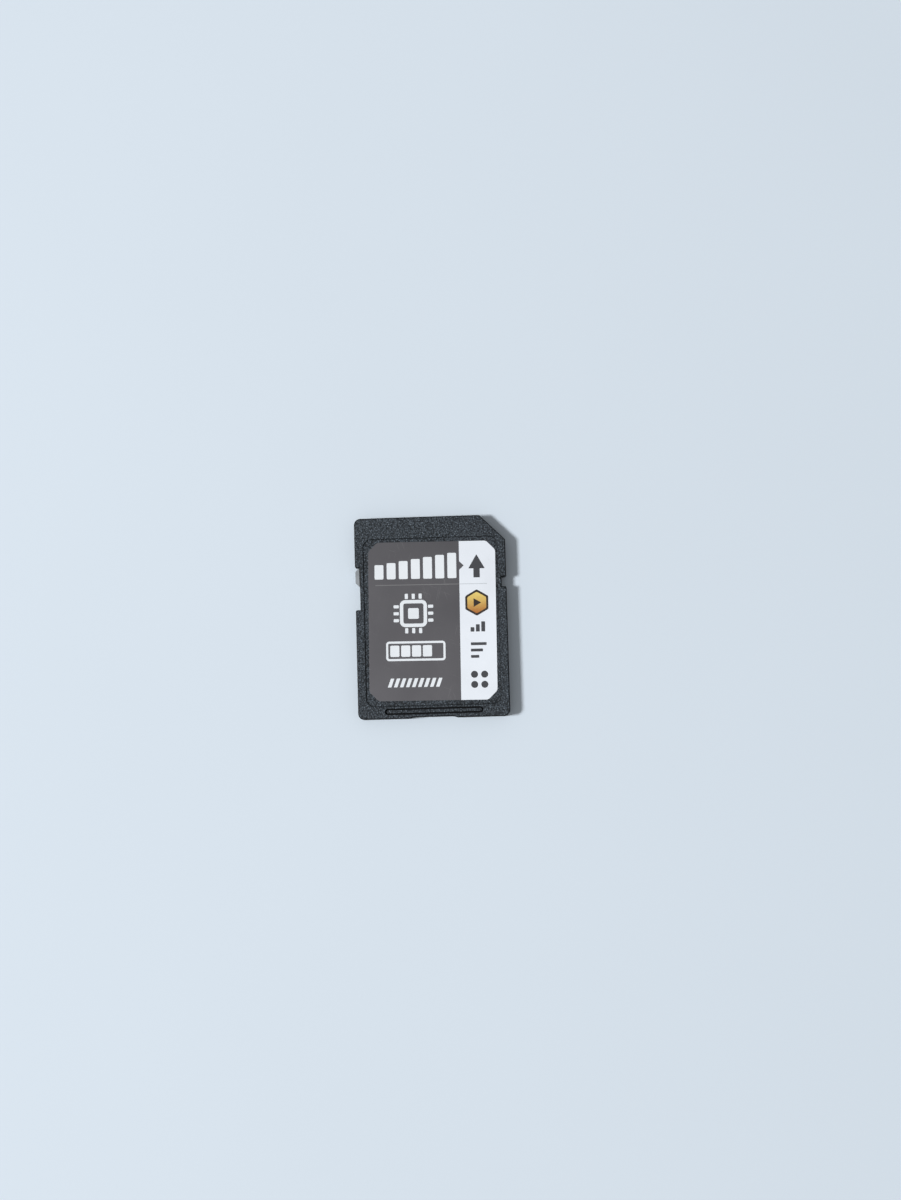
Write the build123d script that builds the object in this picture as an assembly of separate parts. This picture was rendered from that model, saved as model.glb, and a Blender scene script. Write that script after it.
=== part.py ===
from build123d import *
from math import sqrt
import os

# Full-size memory card with a sliding write lock, lying on its contact side with the label up.
# Millimetres. The origin is the middle of the underside. +X is the side with the cut corner,
# +Y the contact end that goes into a slot first, +Z out of the label.

# Contact row, which sets the width of the board and so of the card: 24.0 in all
pad_pitch = 2.5             # between neighbours from contact 9 and 1 to contact 7
last_pad_pitch = 1.7        # from contact 7 to the narrow contact 8
pad_width = 1.5
last_pad_width = 1.1
pad_length = 4.6            # power contacts, the longest ones
power_lead = 0.5            # power contacts reach this much further forward than the others
pad_edge_gap = 0.25         # from a power contact to the front edge of the board
pad_corner_radius = 0.2
right_board_margin = 0.15   # from contact 9 to the edge of the board
left_board_margin = 1.15    # from contact 8 to the edge of the board

# Body outline
card_length = 32.0
side_wall = 1.0             # wall around the hollow inside
corner_cut = 4.0            # legs of the cut corner
corner_radius = 1.0
cut_end_radius = 0.3
inner_radius = 0.5          # corners of the hollow and of the board
edge_radius = 0.2           # rounded rim of the label face
scoop_width = 6.2           # flat part of the shallow scoop in the rear edge
scoop_depth = 0.2
scoop_slope = 0.6           # run of each sloped end of the scoop

# Layers from the underside up, which set the thickness of the card: 2.1 in all
contact_depth = 0.7         # from the underside up to the contacts
pad_thickness = 0.05
board_thickness = 0.35
flash_height = 0.6
controller_height = 0.5
capacitor_height = 0.5
resistor_height = 0.35
chip_gap = 0.05             # between the tallest package and the roof
roof_wall = 0.22            # under the sunk label field
recess_depth = 0.13         # of the label field

# Rails along both sides of the contact side
rail_width = 0.75
rail_depth = 0.7            # from the underside up to the rails
rail_radius = 0.1           # lower edge of the rails
keel_radius = 0.2           # edges of the underside

# Sunk label field and the label in it
side_land = 1.4             # plain border at the sides
front_land = 3.45           # plain border at the contact end
recess_radius = 1.3
recess_edge_radius = 0.11   # rounded rim of the field
label_side_margin = 0.5     # from the label to the side of its field
label_end_margin = 0.65
label_thickness = 0.1
label_corner_cut = 1.45
label_radius = 0.8          # ends of each cut corner
label_shift_x = 0.13        # the label was laid a little off centre and turned
label_shift_y = 0.06
label_turn = -0.7           # degrees

# Grip bar behind the label, flush in a groove that runs around it
grip_length = 15.0
grip_width = 0.45
grip_groove_width = 0.28
grip_groove_depth = 0.3
grip_rear_land = 0.65       # from the rear edge to the groove
grip_front_land = 0.39      # from the groove to the label field
grip_backing = 0.35         # solid roof in front of the groove

# Notches in the sides
notch_radius = 0.3          # corners of a notch's mouth
lock_notch_setback = 7.9    # from the front edge to the notch with the slider
detect_notch_setback = 10.0
detect_notch_length = 1.5
detect_wall = 0.4           # wall behind the plain notch

# Lock slider: a thumb block, a neck through a slot and a flange inside
slider_length = 2.8
slider_travel = 3.7
slider_end_gap = 0.1        # left at the end of the travel
slider_side_inset = 0.05    # behind the side of the card
slider_face_inset = 0.08    # below the label face and above the rail
slider_corner_cut = 0.5     # legs of the cut at each outer corner
slider_radius = 0.15        # ends of each cut corner
slider_edge_radius = 0.06
slider_wall = 0.35          # wall between the notch and the hollow
slide_gap = 0.03            # running clearance around the neck and flange
slot_height = 0.36
neck_length = 1.8
flange_length = 2.4
flange_thickness = 0.35
bay_gap = 0.15              # from the flange to the board

# Board supports
board_gap = 0.1             # around the edge of the board
floor_wall = 0.3
ledge_width = 0.6           # ledge that carries the edge of the board
window_side_gap = 0.2       # beside each contact
window_rear_gap = 0.5       # behind each contact
window_wall = 0.6           # between the contact windows and the pocket behind them
floor_rib_width = 0.6
floor_rib_spread = 8.0      # between the two ribs under the board
peg_inset = 1.3             # from the edges of the board to the middle of a peg
peg_diameter = 0.8
peg_hole_gap = 0.05
peg_recess = 0.1            # from the top of a peg to the top of the board
pillar_diameter = 1.6       # under and over the board at the pegs and hold-downs
hold_down_inset = 1.2       # from the front edge of the board
hold_down_clear = 1.0       # from the cut corner, along X

# Welded seam between the covers
ridge_width = 0.26
ridge_height = 0.2
ridge_side_gap = 0.03
ridge_end_gap = 0.05
ridge_break = 0.4           # left out beyond each end of a notch
seam_chamfer = 0.05         # along the outside of both covers, which leaves a fine line

# Packages on the board
flash_width = 11.5
flash_length = 13.0
flash_rear_gap = 1.5        # from the rear edge of the board
controller_size = 6.0
package_row_gap = 1.5       # from the flash package to the controller
package_chamfer = 0.08
mark_diameter = 0.8         # moulded dimple by the first terminal
mark_depth = 0.05
mark_inset = 1.1
passive_length = 1.0
passive_width = 0.5
passive_cap_length = 0.25   # metal end caps
passive_core_inset = 0.03   # the core is this much smaller than its caps
passive_gap = 0.8           # from the controller to the parts around it
capacitor_pitch = 1.6
capacitors_per_side = 3
resistor_pitch = 1.5
resistor_count = 4

# Sizes that follow
full_pitch_count = 7
pad_span = full_pitch_count * pad_pitch + last_pad_pitch
board_width = right_board_margin + pad_width / 2 + pad_span + last_pad_width / 2 + left_board_margin
board_inset = side_wall + board_gap
card_width = board_width + 2 * board_inset
half_width = card_width / 2
half_length = card_length / 2
board_right = half_width - board_inset
board_front = half_length - board_inset
keel_side = half_width - rail_width
past = 2.0                  # how far a cutting shape reaches past what it cuts

board_bottom = contact_depth + pad_thickness
board_top = board_bottom + board_thickness
tallest_package = max(flash_height, controller_height, capacitor_height, resistor_height)
ceiling = board_top + tallest_package + chip_gap
recess_floor = ceiling + roof_wall
card_thickness = recess_floor + recess_depth
parting = (rail_depth + card_thickness) / 2

grip_outer_width = grip_width + 2 * grip_groove_width
grip_y = -half_length + grip_rear_land + grip_outer_width / 2
rear_land = grip_rear_land + grip_outer_width + grip_front_land
recess_width = card_width - 2 * side_land
recess_length = card_length - front_land - rear_land
recess_y = (rear_land - front_land) / 2

lock_front = half_length - lock_notch_setback
lock_rear = lock_front - slider_length - slider_travel - 2 * slider_end_gap
detect_front = half_length - detect_notch_setback
detect_rear = detect_front - detect_notch_length
slider_y = lock_front - slider_end_gap - slider_length / 2
locked_y = slider_y - slider_travel
slider_wall_face = -keel_side + slider_wall
flange_outer = slider_wall_face + slide_gap
flange_inner = flange_outer + flange_thickness
bay_front = slider_y + flange_length / 2 + bay_gap
bay_rear = locked_y - flange_length / 2 - bay_gap

pad_rear = board_front - pad_edge_gap - pad_length
peg_x = board_right - peg_inset
peg_y = -board_front + peg_inset
hold_down_x = board_right - corner_cut - hold_down_clear
hold_down_y = board_front - hold_down_inset


def rectangle(left, right, rear, front):
    """Flat rectangle between four edges."""
    return Pos((left + right) / 2, (rear + front) / 2) * Rectangle(right - left, front - rear)


def raised(face, low, high):
    """Flat face pulled up into a solid between two heights."""
    return Pos(0, 0, low) * extrude(face, high - low)


def plate(inset, radius, cut_radius):
    """Outline of the card with its cut corner, drawn in by an inset."""
    right = half_width - inset
    front = half_length - inset
    cut = corner_cut - inset * (2 - sqrt(2))
    corners = [(-right, -front), (right, -front), (right, front - cut), (right - cut, front), (-right, front)]
    face = Polygon(*corners, align=None)
    face = fillet(face.vertices().sort_by_distance((right, front))[:2], cut_radius)
    return fillet(face.vertices().sort_by_distance((right, front))[-3:], radius)


def card_outline():
    """Outer outline with the two notches and the scoop in the rear edge."""
    face = plate(0, corner_radius, cut_end_radius)
    face -= rectangle(-half_width - past, -keel_side, lock_rear, lock_front)
    face -= rectangle(keel_side, half_width + past, detect_rear, detect_front)
    flat = scoop_width / 2
    mouth = flat + scoop_slope
    rear = -half_length
    face -= Polygon((-mouth, rear), (mouth, rear), (flat, rear + scoop_depth), (-flat, rear + scoop_depth), align=None)
    for x, y in [(-half_width, lock_front), (-half_width, lock_rear),
                 (half_width, detect_front), (half_width, detect_rear)]:
        face = fillet(face.vertices().sort_by_distance((x, y))[0], notch_radius)
    return face


def hollow_outline():
    """Outline of the hollow between the covers, with the bay for the slider's flange."""
    face = plate(side_wall, inner_radius, inner_radius)
    face -= rectangle(keel_side - detect_wall, half_width, detect_rear - detect_wall, detect_front + detect_wall)
    face -= rectangle(-half_width, slider_wall_face, bay_rear, bay_front)
    return face + rectangle(slider_wall_face, flange_inner + bay_gap, bay_rear, bay_front)


def board_outline():
    """Outline of the board, clear of the slider's flange, the plain notch and the pegs."""
    face = plate(board_inset, inner_radius, inner_radius)
    detect_clear = detect_wall + board_gap
    face -= rectangle(keel_side - detect_clear, half_width, detect_rear - detect_clear, detect_front + detect_clear)
    face -= rectangle(-half_width, flange_inner + bay_gap, bay_rear, bay_front)
    hole = Circle(peg_diameter / 2 + peg_hole_gap)
    return face - [Pos(side * peg_x, peg_y) * hole for side in (-1, 1)]


def seam(clearance):
    """Line of the welded seam in the middle of the wall, left out at the notches."""
    outer = (side_wall - ridge_width) / 2 - clearance
    inner = (side_wall + ridge_width) / 2 + clearance
    face = plate(outer, corner_radius, cut_end_radius) - plate(inner, inner_radius, inner_radius)
    gap = ridge_break - clearance
    face -= rectangle(-half_width, 0, lock_rear - gap, lock_front + gap)
    return face - rectangle(0, half_width, detect_rear - gap, detect_front + gap)


def slider_slot():
    """Slot behind the notch, in which the slider's neck runs."""
    front = slider_y + neck_length / 2 + slider_end_gap
    rear = locked_y - neck_length / 2 - slider_end_gap
    face = rectangle(-keel_side - past / 2, slider_wall_face + slide_gap, rear, front)
    return raised(face, parting - slot_height / 2, parting + slot_height / 2)


def contact_pads():
    """Middle, width, rear end and front end of each contact, by its number."""
    contact_9_x = board_right - right_board_margin - pad_width / 2
    cut_line = half_width + half_length - corner_cut - board_inset * sqrt(2)
    corner_front = cut_line - contact_9_x - pad_width / 2 - pad_edge_gap
    signal_length = pad_length - power_lead
    pads = {9: (contact_9_x, pad_width, corner_front - signal_length, corner_front)}
    for number in range(1, full_pitch_count + 1):
        lead = 0 if number in (3, 4, 6) else power_lead
        front = board_front - pad_edge_gap - lead
        pads[number] = (contact_9_x - number * pad_pitch, pad_width, pad_rear, front)
    contact_8_x = contact_9_x - pad_span
    pads[8] = (contact_8_x, last_pad_width, pad_rear, board_front - pad_edge_gap - power_lead)
    return pads


def contact_windows():
    """Left, right and rear edges of the windows; contacts 7 and 8 share one."""
    pads = contact_pads()
    windows = []
    for first, last in [(9, 9), (1, 1), (2, 2), (3, 3), (4, 4), (5, 5), (6, 6), (7, 8)]:
        right = pads[first][0] + pads[first][1] / 2 + window_side_gap
        left = pads[last][0] - pads[last][1] / 2 - window_side_gap
        windows.append((left, right, pads[first][2] - window_rear_gap))
    return windows


def make_top_cover():
    """Label-side half of the body."""
    body = raised(card_outline(), parting, card_thickness)
    body = fillet(body.faces().sort_by(Axis.Z)[-1].edges(), edge_radius)
    body = chamfer(body.faces().sort_by(Axis.Z)[0].edges(), seam_chamfer)
    recess = Pos(0, recess_y) * RectangleRounded(recess_width, recess_length, recess_radius)
    body -= raised(recess, recess_floor, card_thickness + past)
    body = fillet(body.faces().sort_by(Axis.Z)[-1].inner_wires()[0].edges(), recess_edge_radius)
    bar = SlotOverall(grip_length, grip_width)
    groove = SlotOverall(grip_length + 2 * grip_groove_width, grip_outer_width) - bar
    body -= raised(Pos(0, grip_y) * groove, card_thickness - grip_groove_depth, card_thickness + past)
    roof_rear = grip_y + grip_outer_width / 2 + grip_backing
    hollow = hollow_outline() & rectangle(-half_width, half_width, roof_rear, half_length)
    body -= raised(hollow, parting - past, ceiling)
    pillar = Circle(pillar_diameter / 2)
    for side in (-1, 1):
        body += raised(Pos(side * peg_x, peg_y) * pillar, board_top, ceiling)
        body += raised(Pos(side * hold_down_x, hold_down_y) * pillar, board_top, ceiling)
    body += raised(seam(0), parting - ridge_height, parting)
    return body - slider_slot()


def make_bottom_cover():
    """Contact-side half of the body, with the rails, the contact windows and the board's seat."""
    outline = card_outline()
    rails = raised(outline, rail_depth, parting)
    rails = fillet(rails.faces().sort_by(Axis.Z)[0].edges(), rail_radius)
    rails = chamfer(rails.faces().sort_by(Axis.Z)[-1].edges(), seam_chamfer)
    keel = raised(outline & rectangle(-keel_side, keel_side, -half_length, half_length), 0, rail_depth + rail_radius)
    keel = fillet(keel.faces().sort_by(Axis.Z)[0].edges(), keel_radius)
    body = rails + keel
    hollow = hollow_outline()
    body -= raised(hollow, board_bottom, parting + past)
    windows = contact_windows()
    pocket_front = min(rear for left, right, rear in windows) - window_wall
    pocket = plate(side_wall + ledge_width, inner_radius, inner_radius)
    pocket &= rectangle(-half_width, half_width, -half_length, pocket_front)
    for side in (-1, 1):
        rib_x = side * floor_rib_spread / 2
        pocket -= rectangle(rib_x - floor_rib_width / 2, rib_x + floor_rib_width / 2, -half_length, half_length)
        corner = sorted((side * (peg_x - pillar_diameter / 2), side * half_width))
        pocket -= rectangle(*corner, -half_length, peg_y + pillar_diameter / 2)
    body -= raised(pocket, floor_wall, board_bottom)
    for left, right, rear in windows:
        window = rectangle(left, right, rear, half_length + past)
        body -= raised(window, -past, contact_depth)
        body -= raised(window & hollow, contact_depth, board_bottom)
    for side in (-1, 1):
        body += raised(Pos(side * peg_x, peg_y) * Circle(peg_diameter / 2), board_bottom, board_top - peg_recess)
    body -= raised(seam(ridge_side_gap), parting - ridge_height - ridge_end_gap, parting + past)
    return body - slider_slot()


def make_lock_slider():
    """Thumb block with its neck and the flange that keeps it in."""
    outer = -half_width + slider_side_inset
    block_inner = -keel_side - slide_gap
    block = rectangle(outer, block_inner, slider_y - slider_length / 2, slider_y + slider_length / 2)
    block = chamfer(block.vertices().group_by(Axis.X)[0], slider_corner_cut)
    block = fillet(block.vertices().group_by(Axis.X)[0] + block.vertices().group_by(Axis.X)[1], slider_radius)
    block = raised(block, rail_depth + slider_face_inset, card_thickness - slider_face_inset)
    block = fillet(block.edges().group_by(Axis.Z)[0] + block.edges().group_by(Axis.Z)[-1], slider_edge_radius)
    neck = rectangle(block_inner, flange_inner, slider_y - neck_length / 2, slider_y + neck_length / 2)
    neck_half = slot_height / 2 - slide_gap
    flange = rectangle(flange_outer, flange_inner, slider_y - flange_length / 2, slider_y + flange_length / 2)
    flange_half = ceiling - slide_gap - parting
    body = block + raised(neck, parting - neck_half, parting + neck_half)
    return body + raised(flange, parting - flange_half, parting + flange_half)


def make_front_label():
    """Printed sticker, laid a little askew in its sunk field."""
    width = recess_width - 2 * label_side_margin
    length = recess_length - 2 * label_end_margin
    face = Rectangle(width, length)
    face = chamfer(face.vertices(), label_corner_cut)
    face = Rot(0, 0, label_turn) * fillet(face.vertices(), label_radius)
    return raised(Pos(label_shift_x, recess_y + label_shift_y) * face, recess_floor, recess_floor + label_thickness)


def make_package(width, length, height):
    """Moulded package on its base, with a dimple by the first terminal."""
    body = raised(Rectangle(width, length), 0, height)
    body = chamfer(body.faces().sort_by(Axis.Z)[-1].edges(), package_chamfer)
    mark = Pos(mark_inset - width / 2, length / 2 - mark_inset) * Circle(mark_diameter / 2)
    return body - raised(mark, height - mark_depth, height + past)


def make_passive(height):
    """Small chip part along Y: a core between two metal end caps."""
    core = Rectangle(passive_width - 2 * passive_core_inset, passive_length - passive_cap_length)
    body = raised(core, passive_core_inset, height - passive_core_inset)
    cap = raised(Rectangle(passive_width, passive_cap_length), 0, height)
    for side in (-1, 1):
        body += Pos(0, side * (passive_length - passive_cap_length) / 2) * cap
    return body


def place_packages():
    """Packages and small parts where they sit on the board."""
    flash_y = -board_front + flash_rear_gap + flash_length / 2
    controller_y = flash_y + flash_length / 2 + package_row_gap + controller_size / 2
    parts = {
        "flash_chip": Pos(0, flash_y, board_top) * make_package(flash_width, flash_length, flash_height),
        "controller_chip": Pos(0, controller_y, board_top)
        * make_package(controller_size, controller_size, controller_height),
    }
    beside = controller_size / 2 + passive_gap + passive_width / 2
    number = 0
    for side in (-1, 1):
        for row in range(capacitors_per_side):
            number += 1
            y = controller_y + (row - (capacitors_per_side - 1) / 2) * capacitor_pitch
            parts[f"capacitor_{number}"] = Pos(side * beside, y, board_top) * make_passive(capacitor_height)
    resistor_y = controller_y + controller_size / 2 + passive_gap + passive_width / 2
    for column in range(resistor_count):
        x = (column - (resistor_count - 1) / 2) * resistor_pitch
        place = Pos(x, resistor_y, board_top) * Rot(0, 0, 90)
        parts[f"resistor_{column + 1}"] = place * make_passive(resistor_height)
    return parts


def make_parts():
    """Every piece of the card by its name."""
    parts = {
        "top_cover": make_top_cover(),
        "bottom_cover": make_bottom_cover(),
        "lock_slider": make_lock_slider(),
        "front_label": make_front_label(),
        "circuit_board": raised(board_outline(), board_bottom, board_top),
    }
    for number, (x, width, rear, front) in contact_pads().items():
        face = Pos(x, (rear + front) / 2) * RectangleRounded(width, front - rear, pad_corner_radius)
        parts[f"contact_pad_{number}"] = raised(face, contact_depth, board_bottom)
    parts.update(place_packages())
    return parts


os.makedirs("parts", exist_ok=True)
for name, part in make_parts().items():
    export_step(part, f"parts/{name}.step")
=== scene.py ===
from math import cos, radians, sin, tan

import bmesh
import bpy
from bpy.props import FloatProperty, FloatVectorProperty, PointerProperty
from mathutils import Euler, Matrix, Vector


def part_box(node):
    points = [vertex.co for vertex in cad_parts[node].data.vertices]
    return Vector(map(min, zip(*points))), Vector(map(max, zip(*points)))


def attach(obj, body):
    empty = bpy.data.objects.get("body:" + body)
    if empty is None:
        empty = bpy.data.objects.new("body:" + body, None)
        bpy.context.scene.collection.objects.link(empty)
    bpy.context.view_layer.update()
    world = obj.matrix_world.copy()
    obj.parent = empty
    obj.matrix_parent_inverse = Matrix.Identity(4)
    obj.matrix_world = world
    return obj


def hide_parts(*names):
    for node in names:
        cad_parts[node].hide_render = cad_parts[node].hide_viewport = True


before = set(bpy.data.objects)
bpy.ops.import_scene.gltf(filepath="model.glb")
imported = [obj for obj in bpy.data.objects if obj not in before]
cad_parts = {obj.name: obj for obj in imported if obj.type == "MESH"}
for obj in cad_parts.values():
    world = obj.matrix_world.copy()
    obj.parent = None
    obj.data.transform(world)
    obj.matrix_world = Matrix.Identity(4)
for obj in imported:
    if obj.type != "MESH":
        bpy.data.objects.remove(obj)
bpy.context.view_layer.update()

bl_info = {
    "name": "Memory Card Looks",
    "version": (1, 0, 0),
    "blender": (4, 5, 0),
    "location": "View3D > Sidebar > Card",
    "description": "Finishes, label print and stage for a full-size memory card",
    "category": "Object",
}


# Units and names

MM = 0.001


def mm(*values):
    """Millimetres as metres."""
    return tuple(value * MM for value in values)


def named(start):
    """CAD nodes whose names start alike."""
    return sorted(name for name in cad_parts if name.startswith(start))


# The frame, in metres
LABEL_LOW, LABEL_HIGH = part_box("front_label")
LABEL_MIDDLE = (LABEL_LOW + LABEL_HIGH) / 2
LABEL_REACH = LABEL_HIGH.x + LABEL_HIGH.y
COVER_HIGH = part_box("top_cover")[1]
PADS = named("contact_pad")
PAD_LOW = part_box(PADS[0])[0]
CAPACITORS = named("capacitor")
RESISTORS = named("resistor")


# Properties

def colour(name, description, default):
    """Colour that a user can change, as scene-linear red, green and blue."""
    return FloatVectorProperty(name=name, description=description, default=default, subtype="COLOR",
                               size=3, min=0.0, max=1.0)


def metres(name, description, default):
    """Length or place that a user can change."""
    return FloatProperty(name=name, description=description, default=default, unit="LENGTH",
                         subtype="DISTANCE", precision=5)


def degrees(name, description, default):
    """Angle that a user can change, given here in degrees."""
    return FloatProperty(name=name, description=description, default=radians(default), unit="ROTATION",
                         subtype="ANGLE")


def number(name, description, default):
    """Plain number that a user can change."""
    return FloatProperty(name=name, description=description, default=default, min=0.0)


class CardColours(bpy.types.PropertyGroup):
    """Colours of the finishes and inks."""
    # The grained colour is lifted as a painted sheen; the smooth colour is painted far darker as shade on
    # rims, sides and in grooves.
    grained: colour("Grained plastic", "Grained faces of the covers", (0.0405, 0.0495, 0.0594))
    smooth: colour("Smooth plastic", "Rims, grooves and sides of the covers", (0.0030, 0.0034, 0.0039))
    slider: colour("Slider", "Pale grey plastic of the lock slider", (0.270, 0.291, 0.312))
    dark_field: colour("Dark field", "Grey print over most of the label", (0.099, 0.096, 0.1045))
    white_field: colour("White field", "Bare white film at the right of the label", (0.815, 0.86, 0.925))
    film_core: colour("Film core", "Cut edge of the film", (0.62, 0.63, 0.64))
    pale_ink: colour("Pale ink", "White marks on the dark field", (0.80, 0.84, 0.88))
    grey_ink: colour("Grey ink", "Dark marks on the white field", (0.055, 0.057, 0.064))
    faint_pale_ink: colour("Faint pale ink", "Thin line on the dark field", (0.19, 0.19, 0.195))
    faint_grey_ink: colour("Faint grey ink", "Thin line on the white field", (0.58, 0.62, 0.66))
    badge_rim: colour("Badge rim", "Dark rim and sign of the amber badge", (0.032, 0.022, 0.016))
    amber_front: colour("Amber, front", "Amber badge towards the contact end", (0.84, 0.66, 0.19))
    amber_rear: colour("Amber, rear", "Amber badge towards the rear end", (0.42, 0.13, 0.025))
    mask: colour("Solder mask", "Green lacquer of the circuit board", (0.012, 0.085, 0.045))
    laminate_dark: colour("Laminate, dark", "Edge of the board between its fibres", (0.30, 0.26, 0.14))
    laminate_pale: colour("Laminate, pale", "Fibres in the edge of the board", (0.42, 0.37, 0.22))
    gold: colour("Gold", "Plating of the contacts", (0.86, 0.62, 0.26))
    resin: colour("Resin", "Black moulding resin of the packages", (0.022, 0.022, 0.024))
    tin: colour("Tin", "Ends of the small parts", (0.62, 0.62, 0.60))
    capacitor: colour("Capacitor", "Tan ceramic", (0.38, 0.26, 0.16))
    resistor: colour("Resistor", "Black glaze", (0.018, 0.018, 0.022))


class CardCovers(bpy.types.PropertyGroup):
    """Surface of the covers."""
    grain: metres("Grain", "Size of the spark-eroded grain", 0.32 * MM)
    grain_depth: metres("Grain depth", "Height of the grain", 0.17 * MM)
    grain_above: metres("Grain above", "Above this height the label side is grained",
                        LABEL_LOW.z - 0.05 * MM)
    grain_below: metres("Grain below", "Below this height the contact side is grained",
                        PAD_LOW.z + 0.02 * MM)
    # Pit and dome shades paint shade into the pits of the grain and light onto its domes.
    painted_pit_shade: number("Pit shade", "Pits of the grain, as a share of its colour", 0.25)
    painted_dome_shade: number("Dome shade", "Domes of the grain, as a share of its colour", 1.7)
    mottle_shade: number("Mottle shade", "Pale patches, as a share of the grain's colour", 1.25)
    # The tip shade paints glints onto the tips of the grain.
    painted_glint_shade: number("Tip shade", "Tips that catch the light, as a share of the grain's colour", 5.0)
    tip_polish: number("Tip polish", "How much smoother the tips are", 0.26)
    grained_roughness: number("Grained roughness", "Roughness of the grained faces", 0.56)
    smooth_roughness: number("Smooth roughness", "Roughness of the rims, grooves and sides", 0.36)
    smooth_relief: number("Smooth relief", "Share of the grain's height left on smooth faces", 0.12)
    shine: number("Shine", "Strength of the light that the plastic mirrors", 0.22)


class CardLabel(bpy.types.PropertyGroup):
    """Sizes of the label, places on it counted from its middle, and its surface."""
    width: metres("Width", "Across the label", 20.2 * MM)
    length: metres("Length", "Along the label", 25.2 * MM)
    corner_cut: metres("Corner cut", "Legs of each cut corner", 1.45 * MM)
    corner_radius: metres("Corner radius", "Rounding at the ends of each cut corner", 0.8 * MM)
    edge_radius: metres("Edge radius", "Rounding of the upper edge of the film", 0.02 * MM)
    turn: degrees("Turn", "How far the label was laid askew", -0.7)
    field_edge: metres("Field edge", "Where the white field begins", 4.35 * MM)
    divider: metres("Divider", "Place of the thin line along the label", 5.76 * MM)
    divider_width: metres("Divider width", "Width of the thin line", 0.12 * MM)
    divider_left: metres("Divider, left", "Left end of the thin line", -9.0 * MM)
    divider_right: metres("Divider, right", "Right end of the thin line", 8.7 * MM)
    divider_gap: metres("Divider gap", "Between each half of the thin line and the field edge", 0.05 * MM)
    ink: metres("Ink", "Thickness of the printed marks", 0.012 * MM)
    film_roughness: number("Film roughness", "Roughness of the dark and white fields", 0.42)
    core_roughness: number("Core roughness", "Roughness of the film's cut edge", 0.6)
    ink_roughness: number("Ink roughness", "Roughness of the printed marks", 0.45)
    # Painted sheen: the drift lightens the dark field towards one corner and darkens it towards the other.
    painted_sheen_drift: number("Drift", "How much the dark field's tone changes from corner to corner", 0.22)


class CardStage(bpy.types.PropertyGroup):
    """Floor, light and camera."""
    floor: colour("Floor", "Pale floor", (0.68, 0.76, 0.84))
    ceiling: colour("Ceiling", "Dim ceiling that smooth faces mirror", (0.16, 0.18, 0.20))
    floor_size: metres("Floor size", "Side of the floor", 6.0)
    fade_start: metres("Fade start", "From the card to where the floor begins to fade into the room", 0.12)
    fade_end: metres("Fade end", "From the card to where the floor has faded into the room", 0.5)
    floor_gap: metres("Floor gap", "Between the underside of the card and the floor", 0.02 * MM)
    key_distance: metres("Key distance", "From the card to the main lamp", 2.2)
    key_size: metres("Key size", "Side of the main lamp", 0.36)
    key_power: number("Key power", "Watts of the main lamp", 47.0)
    key_height: degrees("Key height", "Main lamp above the floor", 45.0)
    key_swing: degrees("Key swing", "Main lamp towards the rear of the card from its left", 6.0)
    fill: number("Fill", "Strength of the even light from all round", 0.3)
    lens: number("Lens", "Focal length of the camera in millimetres", 50.0)
    sensor: number("Sensor", "Longer side of the camera's sensor in millimetres", 36.0)
    distance: metres("Camera distance", "From the point aimed at to the camera", 263.8 * MM)
    aim_x: metres("Aim across", "Point aimed at, towards the cut corner", 3.07 * MM)
    aim_y: metres("Aim along", "Point aimed at, towards the contact end", 2.55 * MM)
    tilt: degrees("Camera tilt", "Camera towards the rear end of the card", 5.33)
    pan: degrees("Camera pan", "Camera towards the cut corner", 1.97)
    roll: degrees("Camera roll", "Turn of the picture", -1.79)


# Shader nodes

NOISE_LOW = 0.3      # most of a noise texture's values lie between these two
NOISE_HIGH = 0.7


def give(tree, made, inputs):
    """Sets or links the inputs of a node."""
    for key, value in inputs.items():
        if isinstance(value, bpy.types.NodeSocket):
            tree.links.new(value, made.inputs[key])
        else:
            made.inputs[key].default_value = value


def node(tree, kind, inputs=None, **settings):
    """New shader node with its settings and inputs."""
    made = tree.nodes.new("ShaderNode" + kind)
    for key, value in settings.items():
        setattr(made, key, value)
    give(tree, made, inputs or {})
    return made


def maths(tree, operation, first, second=0.0):
    """Result of one operation on two values."""
    return node(tree, "Math", {0: first, 1: second}, operation=operation).outputs[0]


def plus(tree, first, second):
    """Sum of two values."""
    return maths(tree, "ADD", first, second)


def times(tree, first, second):
    """Product of two values."""
    return maths(tree, "MULTIPLY", first, second)


def ramp(tree, value, start, end, low=0.0, high=1.0):
    """Value that goes from low to high as another goes from start to end."""
    inputs = {"Value": value, "From Min": start, "From Max": end, "To Min": low, "To Max": high}
    return node(tree, "MapRange", inputs).outputs["Result"]


def spread(tree, value, low=0.0, high=1.0):
    """Value that goes from low to high over the range of a noise texture."""
    return ramp(tree, value, NOISE_LOW, NOISE_HIGH, low, high)


def blend(tree, factor, first, second, way="MIX"):
    """Mix of two colours, which a Mix node takes as inputs 6 and 7 and gives as output 2."""
    inputs = {0: factor, 6: first, 7: second}
    return node(tree, "Mix", inputs, data_type="RGBA", blend_type=way).outputs[2]


def solid(rgb):
    """Colour with full alpha."""
    return (rgb[0], rgb[1], rgb[2], 1.0)


def shade(rgb, factor):
    """Colour made lighter or darker."""
    return (rgb[0] * factor, rgb[1] * factor, rgb[2] * factor, 1.0)


def object_place(tree, middle=(0.0, 0.0, 0.0)):
    """Object coordinates, counted from a point of the frame."""
    coordinates = node(tree, "TexCoord").outputs["Object"]
    offset = tuple(-value for value in middle)
    return node(tree, "Mapping", {"Vector": coordinates, "Location": offset}).outputs["Vector"]


def stretched(tree, place, density):
    """Coordinates with their own number of lumps per metre along each axis."""
    return node(tree, "Mapping", {"Vector": place, "Scale": density}).outputs["Vector"]


def axis_of(tree, vector, axis):
    """One part of a vector."""
    return node(tree, "SeparateXYZ", {"Vector": vector}).outputs[axis]


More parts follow.
